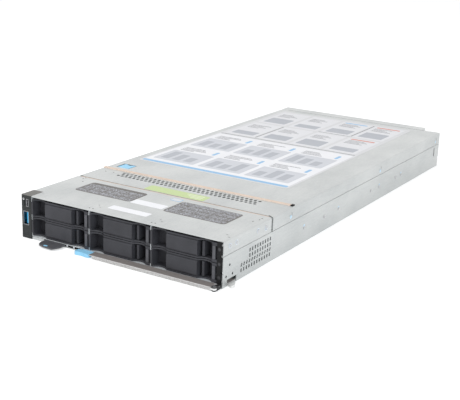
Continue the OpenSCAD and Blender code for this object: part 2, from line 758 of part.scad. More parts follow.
module drive_backplane() {
    color("darkgreen") place() difference() {
        span([divider_x[0] + 2, cage_d, bay_floor_z + 2],
            [divider_x[bay_cols] - 2, cage_d + board_t, leaf_top - 2]);
        for (col = [0 : bay_cols - 1], row = [0 : bay_rows - 1])
            translate([blank_x(col) + 46, cage_d - cut, blank_z(row) + 4])
                cube([20, board_t + 2 * cut, blank_h - 8]);
    }
}

module backplane_connectors() {
    color("black") place() for (col = [0 : bay_cols - 1], row = [0 : bay_rows - 1])
        translate([blank_x(col) + 5, cage_d - 7, blank_z(row) + 6]) difference() {
            cube([34, 7, 6]);
            translate([2, -cut, 2]) cube([30, 5 + cut, 2]);
        }
}

module tag_guide() {
    x0 = left_x + tag_x - guide_left;
    y0 = 0.4;
    stop_d = 5;
    tag0 = left_x + tag_x;
    y1 = y0 + tag_in + 2;
    color([0.12, 0.12, 0.13]) place() difference() {
        span([x0, y0, sheet_t], [tag0 + tag_w + guide_right, y1 + stop_d, slot_top]);
        span([tag0 - slide_gap, -cut, 0], [tag0 + tag_w + slide_gap, y1, bay_floor_z]);
    }
}

module info_tag() {
    tip_r = 2;
    // Plan of the tab in front: a blunt point, with the round corners of the outline
    tip = [[tip_r, 9], [tip_r + 2, 4.4], [tag_w * 0.38, 2.6], [tag_w * 0.8, tip_r], [tag_w - tip_r, 9]];
    color([0.28, 0.28, 0.28]) place() difference() {
        translate([left_x + tag_x, -tag_out, slide_z]) linear_extrude(slide_h) union() {
            polygon(concat(tip, [[tag_w - tip_r, tag_out + tag_in], [tip_r, tag_out + tag_in]]));
            for (p = tip) translate(p) circle(r = tip_r);
            translate([0, 9]) square([tag_w, tag_out + tag_in - 9]);
            hull() for (i = [0 : 3]) translate(tip[i]) circle(r = tip_r);
            hull() for (i = [3, 4]) translate(tip[i]) circle(r = tip_r);
        }
        // Finger hollow on top
        translate([left_x + tag_x + tag_w * 0.6, -tag_out + 6, slide_z + slide_h + 6.6]) sphere(r = 7);
    }
}

function stud_x() = lever_x - part_gap - catch_lap - catch_l / 2;
function stud_y(i) = 5 + i * stud_pitch;

// Bracket at the right front corner: two ears round the lever's pivot and a foot inside the wall.
module lever_bracket() {
    foot_x = low_in - part_gap;
    foot_w = 0.9;
    web_y = -pivot_out + eye_r + 0.4;
    ear_y = -bezel_proud - part_gap;
    top_z = slot_top + part_gap;
    color([0.1, 0.1, 0.11]) place() {
        for (z = [sheet_t - bracket_t, top_z]) difference() {
            translate([0, 0, z]) linear_extrude(bracket_t) union() {
                translate([pivot_x, -pivot_out]) circle(r = eye_r);
                polygon([[pivot_x, -pivot_out - eye_r], [foot_x, -pivot_out], [foot_x, ear_y],
                    [foot_x - 2 * foot_w, ear_y], [pivot_x - eye_r, -pivot_out]]);
            }
            translate([pivot_x, -pivot_out, z - cut]) cylinder(r = pivot_r, h = 3 * cut);
        }
        // Web between the ears, and the foot inside the side wall
        span([foot_x - foot_w, web_y, sheet_t - bracket_t], [foot_x, ear_y, top_z + bracket_t]);
        span([foot_x - foot_w, web_y, sheet_t - bracket_t], [foot_x, hook_y - 2, slot_top - part_gap]);
    }
}

module lever_pivot_pin() {
    head_h = 0.5;
    z0 = sheet_t - bracket_t;
    color("dimgray") place() translate([pivot_x, -pivot_out, 0]) {
        translate([0, 0, z0]) cylinder(r = pivot_r, h = slot_top + part_gap + bracket_t - z0);
        translate([0, 0, slot_top + part_gap + bracket_t]) cylinder(r = pivot_r + 0.5, h = head_h);
    }
}

// Cross-section of the lever's bar in Y and Z, with three grooves along its front face.
module lever_section() {
    z0 = slide_gap;
    groove = 0.5;
    front = [for (i = [1 : 3], p = [[0, -groove / 2], [groove, 0], [0, groove / 2]])
        [p[0], z0 + i * lever_h / 4 + p[1]]];
    polygon(concat([[lever_d, z0 + 0.6], [lever_d - 0.6, z0], [0.4, z0], [0, z0 + 0.4]], front,
        [[0, z0 + lever_h - 0.4], [0.4, z0 + lever_h], [lever_d, z0 + lever_h]]));
}

// Release lever: ribbed bar in front, eye on the pivot, and the cam hook that leaves the side wall.
module release_lever() {
    tail_w = 2.4;
    y1 = hook_y + hook_d;
    tip_x = right_x + hook_out;
    // Plan of the plate behind the bar, clockwise from the eye's left side
    plan = [[lever_end_x - 4, -pivot_out - 1], [pivot_x, -pivot_out - eye_r + 0.2],
        [pivot_x + tail_w / 2, -pivot_out], [pivot_x + tail_w / 4, hook_y - 3],
        [low_in - 1, hook_y], [right_x, hook_y], [tip_x - 0.8, hook_y - hook_lead],
        [tip_x, hook_y - hook_lead + 0.9], [tip_x, hook_y + 1.4], [right_x, y1], [low_in - 2, y1],
        [pivot_x - tail_w, y1 - 3],
        [pivot_x - tail_w - 2, hook_y], [pivot_x - tail_w, -pivot_out + 5],
        [lever_end_x - 4, -pivot_out + 5]];
    color([0.8, 0.8, 0.79]) place() {
        difference() {
            translate([0, -lever_d - slide_gap - 0.2, 0])
                along_x(lever_x - lever_slant, lever_end_x) lever_section();
            // Slanted left end
            linear_extrude(slot_top + lever_h, center = true)
                polygon([[lever_x, -2 * lever_d], [lever_x, -lever_d + 0.6], [lever_x - lever_slant, 0],
                    [lever_x - 3 * lever_slant, 0], [lever_x - 3 * lever_slant, -2 * lever_d]]);
        }
        difference() {
            translate([0, 0, slide_z]) linear_extrude(slide_h) union() {
                polygon(plan);
                translate([pivot_x, -pivot_out]) circle(r = eye_r - 0.1);
            }
            translate([pivot_x, -pivot_out, 0]) cylinder(r = pivot_r + run_gap, h = slot_top + cut);
        }
        // The hook is thicker than the plate that carries it
        translate([0, 0, slide_gap]) linear_extrude(slide_z + slide_h - slide_gap)
            polygon([for (i = [4 : 11]) plan[i]]);
    }
}

// Lever latch: finger block in front, and a tongue that slides on two studs under the bays.
module lever_latch() {
    x1 = lever_x - part_gap - 0.2 - catch_lap;
    x0 = x1 - catch_l;
    y0 = -lever_d + 0.2;
    tongue_x = 3;
    step_y = 3.4;                      // depth of the lower step along the rear
    step_h = 0.8;
    tongue_y = stud_y(1) + 4;
    hole_r = stud_r + 0.2;
    color([0.5, 0.75, 0.97]) place() difference() {
        union() {
            translate([x0, y0, slide_gap]) linear_extrude(lever_h) difference() {
                round_rect(catch_l, -y0 - slide_gap - 0.1, 1.6);
                // Chamfer at the right rear, beside the lever's slanted end
                translate([catch_l, -y0 - slide_gap - 0.1]) rotate(45) square(3, center = true);
            }
            span([x0 + tongue_x, -2, slide_z], [x1 - tongue_x, tongue_y, slide_z + slide_h]);
        }
        // Lower step along the rear, and a dip in the front that a fingertip finds
        span([x0 - cut, -slide_gap - step_y, slide_gap + lever_h - step_h],
            [x1 + cut, cut - slide_gap, slot_top + cut + lever_h]);
        translate([x0 + catch_l * 0.42, y0 - 17.2, 0]) cylinder(r = 18, h = 3 * lever_h, $fn = 96);
        // Guide slots, as long as the travel towards the left
        for (i = [0, 1]) {
            span([stud_x(), stud_y(i) - hole_r, 0], [stud_x() + catch_travel, stud_y(i) + hole_r, slot_top]);
            for (x = [0, catch_travel]) translate([stud_x() + x, stud_y(i), 0])
                cylinder(r = hole_r, h = slot_top);
        }
    }
}

module seam_gasket() {
    color("tan") place() span([-leaf_in + 2, front_plate_d + part_gap, ledge_z],
        [leaf_in - 2, cover_y - 2 * part_gap, sled_h - gasket_drop]);
}

module system_cover() {
    dimples = [130.5, 361, body_d - 15];
    wx = left_x + well_x;
    notch = 1.6;
    color("gainsboro") place() difference() {
        union() {
            along_y(cover_y, body_d) folded_sheet();
            // Well for the latch handle
            span([wx, well_y, sled_h - well_h], [wx + well_w, well_y + well_d, sled_h - sheet_t / 2]);
        }
        for (row = [0 : vent_rows - 1], i = [0 : vent_count - 1 - row % 2])
            translate([left_x + vent_x + (i + (row % 2) / 2) * vent_pitch, vent_y + row * vent_pitch, 0])
                cylinder(r = vent_hole / 2, h = sled_h + cut, $fn = 6);
        span([wx + sheet_t, well_y + sheet_t, sled_h - well_h + sheet_t],
            [wx + well_w - sheet_t, well_y + well_d - sheet_t, sled_h + cut]);
        rod_x([wx - cut, hinge_y, hinge_z], latch_pin_r, well_w + 2 * cut);
        at_sides() for (y = dimples)
            rod_x([right_x - sheet_t / 3, y, (seam_z + sled_h) / 2], dimple_d / 2, cut);
        // Notches at the front corners, beside the gasket
        at_sides() span([right_x - 6, cover_y - cut, top_in - cut],
            [right_x - 6 + 2 * notch, cover_y + notch, sled_h + cut]);
    }
}

module emi_gasket_bar() {
    color([0.87, 0.78, 0.7]) place() along_x(left_x + 0.6, right_x - bar_cap_l - 1)
        polygon([[bar_y, sled_h], [bar_y + bar_w, sled_h], [bar_y + bar_w - 0.5, sled_h + bar_h],
            [bar_y + 0.5, sled_h + bar_h]]);
}

module gasket_end_cap() {
    color("black") place() span([right_x - bar_cap_l - 1, bar_y, sled_h],
        [right_x - 1, bar_y + bar_w, sled_h + bar_h + 0.2]);
}

module cover_latch() {
    notch_r = 4;
    color([0.64, 0.83, 0.97]) place() difference() {
        union() {
            rod_x([handle_x, hinge_y, hinge_z], handle_t / 2, handle_w);
            span([handle_x, hinge_y, hinge_z - handle_t / 2 + 0.9],
                [handle_x + handle_w, handle_y + handle_d, handle_top]);
            // Side ribs under the handle
            for (x = [handle_x, handle_x + handle_w - 1.2])
                span([x, hinge_y, hinge_z - handle_t / 2],
                    [x + 1.2, handle_y + handle_d - 1, handle_top - 0.5]);
        }
        rod_x([handle_x - cut, hinge_y, hinge_z], latch_pin_r + run_gap, handle_w + 2 * cut);
        // Finger notch at the free edge
        translate([handle_x + handle_w / 2, handle_y + handle_d + 1.4, 0])
            cylinder(r = notch_r, h = sled_h + cut);
    }
}

module cover_latch_pin() {
    color("silver") place() rod_x([left_x + well_x + 0.1, hinge_y, hinge_z], latch_pin_r, well_w - 0.2);
}

module system_board() {
    notch = 14;
    color("darkgreen") place() difference() {
        span([-board_w / 2, board_y, board_z], [board_w / 2, board_y + board_d, board_top]);
        for (p = standoffs) translate([p[0], p[1], 0]) cylinder(r = screw_r, h = sled_h);
        for (s = [-1, 1]) translate([s * board_w / 2, board_y + board_d / 2, board_z + board_t / 2])
            cube([notch, notch, 2 * board_t], center = true);
    }
}

module board_screws() {
    color("silver") place() for (p = standoffs) translate([p[0], p[1], board_top])
        cylinder(r = screw_head_r, h = screw_head_h);
}

function cpu_mid(i) = cpu_y + i * cpu_pitch;

// A block of size s centred on the origin in plan.
module mid_block(s) { translate([-s[0] / 2, -s[1] / 2, 0]) cube(s); }

module cpu_sockets() {
    color("dimgray") place() for (i = [0, 1]) translate([0, cpu_mid(i), board_top]) difference() {
        mid_block([package_w + 10, package_d + 10, socket_h + 2]);
        translate([0, 0, socket_h]) mid_block([package_w + 2 * part_gap, package_d + 2 * part_gap, 4]);
    }
}

module processor(i) {
    lid_in = 5;
    color("silver") place() translate([0, cpu_mid(i), board_top + socket_h]) {
        mid_block([package_w, package_d, 1.6]);
        mid_block([package_w - 2 * lid_in, package_d - 2 * lid_in, cpu_h]);
    }
}

module heatsink(i) {
    fins = floor((sink_w - fin_t) / fin_pitch);
    corner = 2 * (sink_screw_in + screw_head_r + 1);
    color([0.75, 0.76, 0.78]) place() translate([0, cpu_mid(i), 0]) difference() {
        union() {
            translate([-sink_w / 2, -sink_d / 2, sink_z]) cube([sink_w, sink_d, sink_base]);
            for (k = [0 : fins]) translate([(k - fins / 2) * fin_pitch - fin_t / 2, -sink_d / 2, sink_z])
                cube([fin_t, sink_d, sink_top - sink_z]);
        }
        for (x = [-1, 1], y = [-1, 1]) {
            translate([x * sink_w / 2, y * sink_d / 2, sink_z + sink_base + sled_h / 2])
                cube([corner, corner, sled_h], center = true);
            translate([x * (sink_w / 2 - sink_screw_in), y * (sink_d / 2 - sink_screw_in), 0])
                cylinder(r = screw_r + part_gap, h = sled_h);
        }
    }
}

module heatsink_screws() {
    color("dimgray") place() for (i = [0, 1], x = [-1, 1], y = [-1, 1])
        translate([x * (sink_w / 2 - sink_screw_in), cpu_mid(i) + y * (sink_d / 2 - sink_screw_in), 0]) {
            translate([0, 0, board_top]) cylinder(r = screw_r, h = sink_z + sink_base - board_top);
            translate([0, 0, sink_z + sink_base]) cylinder(r = screw_head_r, h = 7);
        }
}

// Repeats its children at every memory slot of processor i.
module at_dimms(i) {
    for (s = [-1, 1], k = [0 : dimm_count - 1])
        translate([s * (dimm_x + k * dimm_pitch), cpu_mid(i), board_top]) children();
}

module memory_sockets() {
    color("black") place() for (i = [0, 1]) at_dimms(i) difference() {
        union() {
            mid_block([dimm_socket_w, dimm_socket_l, dimm_socket_h]);
            // Towers at both ends
            for (s = [-1, 1]) translate([0, s * (dimm_socket_l / 2 - 1.5), 0])
                mid_block([dimm_socket_w, 3, 2.6 * dimm_socket_h]);
        }
        translate([-dimm_t / 2 - part_gap, -dimm_l / 2 - part_gap, dimm_socket_h - dimm_seat])
            cube([dimm_t + 2 * part_gap, dimm_l + 2 * part_gap, dimm_seat + cut]);
    }
}

module memory_bank(i) {
    color("seagreen") place() at_dimms(i) translate([0, 0, dimm_z - board_top]) difference() {
        mid_block([dimm_t, dimm_l, dimm_h]);
        // Half-round retention notches at both ends
        for (y = [-1, 1]) rod_x([-2 * cut, y * dimm_l / 2, dimm_h / 2], 1.4, 4 * cut);
    }
}

// Duct over the front heat sink, with a flared intake lip.
module air_shroud() {
    wall = 1.2;
    x1 = sink_w / 2 + 2;
    y0 = cpu_y - dimm_socket_l / 2;
    y1 = cpu_y + dimm_socket_l / 2;
    z1 = sink_top + part_gap + wall;
    color([0.2, 0.2, 0.22]) place() difference() {
        span([-x1, y0, board_top], [x1, y1, z1]);
        span([-x1 + wall, y0 - cut, 0], [x1 - wall, y1 + cut, z1 - wall]);
        // Cut-outs in the side walls, leaving a foot at each end
        span([-x1 - cut, y0 + 12, 0], [x1 + cut, y1 - 12, board_top + 12]);
        for (x = [-0.33, 0, 0.33], y = [0.25, 0.5, 0.75]) translate([x * sink_w, y0 + y * (y1 - y0), z1])
            cylinder(r = 6, h = 4 * wall, center = true);
    }
}

module fabric_card(x0) {
    pad = 10;
    fins = 9;
    fin_h = 13;
    cooler_y = card_y + 0.23 * card_d;
    cooler_d = 0.37 * card_d;
    color("darkgreen") place() {
        span([x0, card_y, card_z], [x0 + card_w, card_y + card_d - 14, card_z + board_t]);
        // Board-to-board connector underneath, and the cooler on top
        span([x0 + pad, card_y + pad, board_top], [x0 + card_w - pad, card_y + pad + 8, card_z]);
        span([x0 + pad, cooler_y, card_z + board_t],
            [x0 + card_w - pad, cooler_y + cooler_d, card_z + board_t + 4]);
        for (k = [0 : fins - 1])
            translate([x0 + pad + k * (card_w - 2 * pad - 1) / (fins - 1), cooler_y, card_z + board_t])
                cube([1, cooler_d, fin_h]);
    }
}

// A rear plug: block with rows of shallow contact slots in its mating face.
module rear_plug(x, w, rows) {
    y0 = body_d - 16;
    y1 = body_d + plug_d;
    z0 = card_z - 2;
    difference() {
        span([x, y0, z0], [x + w, y1, z0 + plug_h]);
        span([x - cut, y0 - cut, z0 - cut], [x + w + cut, y0 + 1.8, card_z + board_t + part_gap]);
        for (r = [1 : rows]) span([x + 3, y1 - 3, z0 + r * plug_h / (rows + 1) - 0.8],
            [x + w - 3, y1 + cut, z0 + r * plug_h / (rows + 1) + 0.8]);
    }
}

module fabric_connectors() {
    color("black") place() for (x = [card_a_x, card_b_x]) rear_plug(x + (card_w - plug_w) / 2, plug_w, 4);
}

module power_connector() {
    color("black") place() {
        rear_plug(power_x, power_w, 2);
        // Leg down to the system board
        span([power_x + 4, body_d - 14, board_top], [power_x + power_w - 4, body_d - 6, card_z]);
    }
}

module boot_module() {
    x0 = power_x - 4;
    y0 = card_y + 4;
    l = 0.66 * card_d;
    w = 22;
    color("darkgreen") place() {
        span([x0, y0, board_top + 6], [x0 + 2 * w + 6, y0 + l + 6, board_top + 6 + board_t]);
        span([x0 + 4, y0 + 2, board_top], [x0 + 2 * w + 2, y0 + 8, board_top + 6]);
        for (i = [0, 1]) span([x0 + 2 + i * (w + 2), y0 + 3, board_top + 6 + board_t],
            [x0 + 2 + i * (w + 2) + w, y0 + 3 + l, board_top + 6 + board_t + 3.4]);
    }
}

module management_card() {
    x0 = board_w / 2 - 62;
    y0 = board_y + 4;
    color("darkgreen") place() {
        span([x0, y0, board_top], [x0 + 40, y0 + 5, board_top + 5]);
        span([x0, y0 + 1.7, board_top + 5], [x0 + 40, y0 + 1.7 + board_t, board_top + 26]);
        span([x0 + 12, y0 + 1.7 + board_t, board_top + 8], [x0 + 26, y0 + 3.2 + board_t, board_top + 22]);
    }
}

cell_r = 10;
cell_h = 3.2;
cell_x = -board_w / 2 + 30;
cell_y = board_y + 14;

module battery_holder() {
    color("black") place() translate([cell_x, cell_y, board_top]) difference() {
        cylinder(r = cell_r + 2, h = cell_h + 1.4);
        translate([0, 0, 1.6]) cylinder(r = cell_r + part_gap, h = sled_h);
        translate([cell_r, 0, sled_h / 2 + 1.6]) cube([8, 8, sled_h], center = true);
    }
}

module coin_cell() {
    color("silver") place() translate([cell_x, cell_y, board_top + 1.6]) cylinder(r = cell_r, h = cell_h);
}

// Hood round the rear plugs: top, floor and side walls, open to the rear.
module rear_shroud() {
    z0 = sheet_t;
    x1 = left_x + tongue_w;
    z1 = sled_h - 0.2;
    color([0.45, 0.45, 0.46]) place() difference() {
        span([left_x, body_d, z0], [x1, body_d + tongue_d, z1]);
        span([left_x + tongue_wall, body_d - cut, z0 + tongue_wall],
            [x1 - tongue_wall, body_d + tongue_d + cut, z1 - tongue_wall]);
    }
}

module side_rivets() {
    head = 0.35;
    color("silver") place() at_sides() {
        for (p = side_rivet_yz) rod_x([right_x, p[0], p[1]], 1.9, head);
    }
    color("silver") place() for (y = plate_rivet_y) {
        rod_x([right_x, y, sled_h - 7], 1.9, head);
        if (y > panel_d + 3) mirror([1, 0, 0]) rod_x([right_x, y, sled_h - 7], 1.9, head);
    }
}

chassis_base();
front_top_plate();
drive_cage();
right_bezel();
bezel_screws();
control_panel();
control_board();
usb_port();
usb_tongue();
micro_usb_port();
power_button();
drive_backplane();
backplane_connectors();
tag_guide();
info_tag();
lever_bracket();
lever_pivot_pin();
release_lever();
lever_latch();
seam_gasket();
system_board();
board_screws();
cpu_sockets();
processor(0);  // processor_1
processor(1);  // processor_2
heatsink(0);  // heatsink_1
heatsink(1);  // heatsink_2
heatsink_screws();
memory_sockets();
memory_bank(0);  // memory_front
memory_bank(1);  // memory_rear
air_shroud();
fabric_card(card_a_x);  // fabric_card_a
fabric_card(card_b_x);  // fabric_card_b
fabric_connectors();
power_connector();
boot_module();
management_card();
battery_holder();
coin_cell();
rear_shroud();
side_rivets();
system_cover();
emi_gasket_bar();
gasket_end_cap();
cover_latch();
cover_latch_pin();
bay_blank(1);  // bay_blank_1
bay_blank(2);  // bay_blank_2
bay_blank(3);  // bay_blank_3
bay_blank(4);  // bay_blank_4
bay_blank(5);  // bay_blank_5
bay_blank(6);  // bay_blank_6
bay_latch(1);  // bay_latch_1
bay_latch(2);  // bay_latch_2
bay_latch(3);  // bay_latch_3
bay_latch(4);  // bay_latch_4
bay_latch(5);  // bay_latch_5
bay_latch(6);  // bay_latch_6
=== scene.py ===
# %% [markdown]
# # Dressing a compute sled
#
# The sled is a long flat steel box with six pull-out modules at its front. Its solids come
# ready made from the CAD frame, so this lesson gives them finishes, adds the printed labels
# and the small marks that no solid carries, and sets up a plain studio around them.

# %% Load the frame
import json
import math

import bmesh
import bpy
from mathutils import Matrix, Vector


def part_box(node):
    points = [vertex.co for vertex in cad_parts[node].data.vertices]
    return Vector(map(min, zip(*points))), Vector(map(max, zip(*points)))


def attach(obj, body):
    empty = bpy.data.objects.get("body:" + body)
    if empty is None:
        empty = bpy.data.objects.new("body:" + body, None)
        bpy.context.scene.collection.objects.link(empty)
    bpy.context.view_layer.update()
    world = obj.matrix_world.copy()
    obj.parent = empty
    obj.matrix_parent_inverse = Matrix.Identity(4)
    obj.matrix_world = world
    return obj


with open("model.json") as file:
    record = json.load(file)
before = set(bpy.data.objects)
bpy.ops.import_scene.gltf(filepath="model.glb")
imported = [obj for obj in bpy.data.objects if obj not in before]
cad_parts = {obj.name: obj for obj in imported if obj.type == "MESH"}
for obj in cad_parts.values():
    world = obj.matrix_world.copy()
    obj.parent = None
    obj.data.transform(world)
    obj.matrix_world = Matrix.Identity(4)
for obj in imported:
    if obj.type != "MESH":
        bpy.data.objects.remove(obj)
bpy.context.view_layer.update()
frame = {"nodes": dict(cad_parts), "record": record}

# %% [markdown]
# The frame is in metres, but sheet metal is drawn in millimetres from a corner. Every place
# below is given as a maker would measure it: right from the left wall, back from the front
# plane of the bays, and up from the bench. One helper turns that into the frame's metres.

# %% Measure from the front left corner
MM = 0.001
base_low, base_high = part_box("chassis_base")
cover_low, cover_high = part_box("system_cover")
LEFT = cover_low.x / MM
FRONT = base_low.y / MM
WIDTH = (cover_high.x - cover_low.x) / MM
DEPTH = (base_high.y - base_low.y) / MM
TOP = cover_high.z / MM


def at(right, back, up):
    """The frame's point that lies so many millimetres right, back and up."""
    return Vector(((LEFT + right) * MM, (FRONT + back) * MM, up * MM))


print(f"body {WIDTH:.1f} x {DEPTH:.1f} x {TOP:.1f} mm")

# %% [markdown]
# The camera stands to the right of the front, a little above, far enough away for a long
# lens. Three angles, a distance and the point it looks at are easier to read than a matrix.

# %% Place the camera
AZIMUTH, ELEVATION, ROLL = (math.radians(a) for a in (31.176, 16.983, 1.876))
DISTANCE = 1.12355
LOOK_AT = Vector((0.01456, -0.09233, 0.02))

back_axis = Vector((math.sin(AZIMUTH) * math.cos(ELEVATION),
                    -math.cos(AZIMUTH) * math.cos(ELEVATION), math.sin(ELEVATION)))
level_right = Vector((math.cos(AZIMUTH), math.sin(AZIMUTH), 0))
level_up = back_axis.cross(level_right)
right_axis = math.cos(ROLL) * level_right + math.sin(ROLL) * level_up
up_axis = math.cos(ROLL) * level_up - math.sin(ROLL) * level_right

lens_data = bpy.data.cameras.new("portrait_lens")
lens_data.sensor_width = 36
lens_data.lens = 76.96
lens_data.clip_start, lens_data.clip_end = 0.05, 20
camera = bpy.data.objects.new("portrait_camera", lens_data)
camera.matrix_world = Matrix.Translation(LOOK_AT + DISTANCE * back_axis) @ Matrix(
    (right_axis, up_axis, back_axis)).transposed().to_4x4()
bpy.context.scene.collection.objects.link(camera)
bpy.context.scene.camera = camera
bpy.context.scene.view_settings.view_transform = "Standard"
print("camera at", [round(c, 3) for c in camera.matrix_world.translation])

# %% [markdown]
# A catalogue portrait stands on white. The world is white to the camera and to shiny metal,
# but softer as a light, and the floor adds just enough of its own white for the camera to
# lose its edge while it keeps the sled's shadow. The lamps can't be seen in bare metal: on a
# flat bright sheet their mirror image would burn out whichever side faces them.

# %% Build the studio
def link(tree, source, target):
    """Join one node's output socket to another's input socket."""
    tree.links.new(source, target)


def maths(tree, operation, first, second):
    """A Math node; either operand may be a socket or a number."""
    node = tree.nodes.new("ShaderNodeMath")
    node.operation = operation
    for socket, value in zip(node.inputs, (first, second)):
        if isinstance(value, (int, float)):
            socket.default_value = value
        else:
            link(tree, value, socket)
    return node.outputs[0]


WORLD_LIGHT = 0.62          # what matt surfaces get from all around
FLOOR_GLOW = 0.45           # what the camera sees on top of the lit floor
FLOOR_MIRROR_GLOW = 0.30    # what bare metal sees of it
world = bpy.data.worlds.new("studio_world")
world.use_nodes = True
sky = world.node_tree
background = sky.nodes["Background"]
background.inputs["Color"].default_value = (1, 1, 1, 1)
rays = sky.nodes.new("ShaderNodeLightPath")
seen = maths(sky, "MAXIMUM", rays.outputs["Is Camera Ray"],
             maths(sky, "MAXIMUM", rays.outputs["Is Glossy Ray"],
                   rays.outputs["Is Transmission Ray"]))
link(sky, maths(sky, "MAXIMUM", seen, WORLD_LIGHT), background.inputs["Strength"])
bpy.context.scene.world = world

floor_mesh = bpy.data.meshes.new("studio_floor")
floor_mesh.from_pydata([(-6, -6, 0), (6, -6, 0), (6, 6, 0), (-6, 6, 0)], [], [(0, 1, 2, 3)])
floor = bpy.data.objects.new("studio_floor", floor_mesh)
floor.location.z = -0.0002
bpy.context.scene.collection.objects.link(floor)

floor_paint = bpy.data.materials.new("floor_paint")
floor_paint.use_nodes = True
paint = floor_paint.node_tree
floor_shader = paint.nodes["Principled BSDF"]
floor_shader.inputs["Base Color"].default_value = (0.82, 0.82, 0.82, 1)
floor_shader.inputs["Roughness"].default_value = 0.9
floor_shader.inputs["Specular IOR Level"].default_value = 0
floor_shader.inputs["Emission Color"].default_value = (1, 1, 1, 1)
floor_rays = paint.nodes.new("ShaderNodeLightPath")
floor_mirrored = maths(paint, "MAXIMUM", floor_rays.outputs["Is Glossy Ray"],
                       floor_rays.outputs["Is Transmission Ray"])
floor_glow = maths(paint, "MAXIMUM",
                   maths(paint, "MULTIPLY", floor_rays.outputs["Is Camera Ray"], FLOOR_GLOW),
                   maths(paint, "MULTIPLY", floor_mirrored, FLOOR_MIRROR_GLOW))
link(paint, floor_glow, floor_shader.inputs["Emission Strength"])
floor_mesh.materials.append(floor_paint)


def soft_lamp(name, place, size, power, colour=(1, 1, 1)):
    """A square lamp that looks at the middle of the sled and leaves no glare on bare metal."""
    data = bpy.data.lights.new(name, "AREA")
    data.size = size
    data.energy = power
    data.color = colour
    lamp = bpy.data.objects.new(name, data)
    lamp.location = place
    lamp.visible_glossy = False
    lamp.rotation_euler = (Vector((0, 0, 0)) - Vector(place)).to_track_quat("-Z", "Y").to_euler()
    bpy.context.scene.collection.objects.link(lamp)
    return lamp


soft_lamp("key_lamp", (-1.2, -1.4, 2.2), 1.6, 22)
soft_lamp("side_lamp", (1.5, -1.2, 0.85), 1.0, 16, (0.88, 0.95, 1.0))
print("studio ready, world light", WORLD_LIGHT)

# %% [markdown]
# Every finish starts from Blender's Principled shader and gets its life from noise that is
# read in the object's own metres, so a grain has its true size. These helpers are the whole
# kit: a colour written as a paint chip, noise that can be stretched into a brushed grain,
# and ways to let it move the colour, the roughness and the surface.

# %% Helpers for finishes
def chip(red, green, blue):
    """A colour as printed on a paint chip, 0 to 255, turned into light values."""
    def linear(value):
        value /= 255
        return value / 12.92 if value <= 0.04045 else ((value + 0.055) / 1.055) ** 2.4
    return (linear(red), linear(green), linear(blue), 1)


def start_finish(name, colour, metallic=0.0, roughness=0.5):
    """A new material with one plain colour; returns it with its tree and shader."""
    material = bpy.data.materials.new(name)
    material.use_nodes = True
    shader = material.node_tree.nodes["Principled BSDF"]
    shader.inputs["Base Color"].default_value = chip(*colour)
    shader.inputs["Metallic"].default_value = metallic
    shader.inputs["Roughness"].default_value = roughness
    material.diffuse_color = chip(*colour)
    return material, material.node_tree, shader


def noise(tree, grain_mm, stretch=(1, 1, 1), detail=2.0, turn=(0, 0, 0)):
    """Noise with grains about grain_mm across; stretch lengthens them along an axis."""
    place = tree.nodes.new("ShaderNodeTexCoord")
    mapping = tree.nodes.new("ShaderNodeMapping")
    mapping.inputs["Rotation"].default_value = turn
    mapping.inputs["Scale"].default_value = [1 / s for s in stretch]
    texture = tree.nodes.new("ShaderNodeTexNoise")
    texture.inputs["Scale"].default_value = 1000 / grain_mm
    texture.inputs["Detail"].default_value = detail
    link(tree, place.outputs["Object"], mapping.inputs["Vector"])
    link(tree, mapping.outputs["Vector"], texture.inputs["Vector"])
    return texture.outputs["Fac"]


def spread(tree, factor, low, high, start=0.3, end=0.7):
    """Stretch a factor's middle range over low to high."""
    node = tree.nodes.new("ShaderNodeMapRange")
    for name, value in (("From Min", start), ("From Max", end), ("To Min", low), ("To Max", high)):
        node.inputs[name].default_value = value
    link(tree, factor, node.inputs["Value"])
    return node.outputs["Result"]


def blend_colours(tree, factor, first, second):
    """A colour that runs from first to second as factor runs from 0 to 1."""
    node = tree.nodes.new("ShaderNodeMix")
    node.data_type = "RGBA"
    for socket, value in ((node.inputs[6], first), (node.inputs[7], second)):
        if isinstance(value, tuple):
            socket.default_value = value
        else:
            link(tree, value, socket)
    link(tree, factor, node.inputs[0])
    return node.outputs[2]


def emboss(tree, shader, height, strength, depth_mm):
    """Let a factor push the surface up and down by about depth_mm."""
    node = tree.nodes.new("ShaderNodeBump")
    node.inputs["Strength"].default_value = strength
    node.inputs["Distance"].default_value = depth_mm * MM
    link(tree, height, node.inputs["Height"])
    link(tree, node.outputs["Normal"], shader.inputs["Normal"])


def facing_up(tree):
    """1 where the surface faces up in the object's own frame, 0 where it stands."""
    place = tree.nodes.new("ShaderNodeTexCoord")
    parts = tree.nodes.new("ShaderNodeSeparateXYZ")
    link(tree, place.outputs["Normal"], parts.inputs["Vector"])
    return spread(tree, parts.outputs["Z"], 0, 1, 0.5, 0.9)


def left_of(tree, limit):
    """1 where a solid lies left of a place given in metres, 0 right of it."""
    place = tree.nodes.new("ShaderNodeTexCoord")
    parts = tree.nodes.new("ShaderNodeSeparateXYZ")
    link(tree, place.outputs["Object"], parts.inputs["Vector"])
    return maths(tree, "LESS_THAN", parts.outputs["X"], limit)


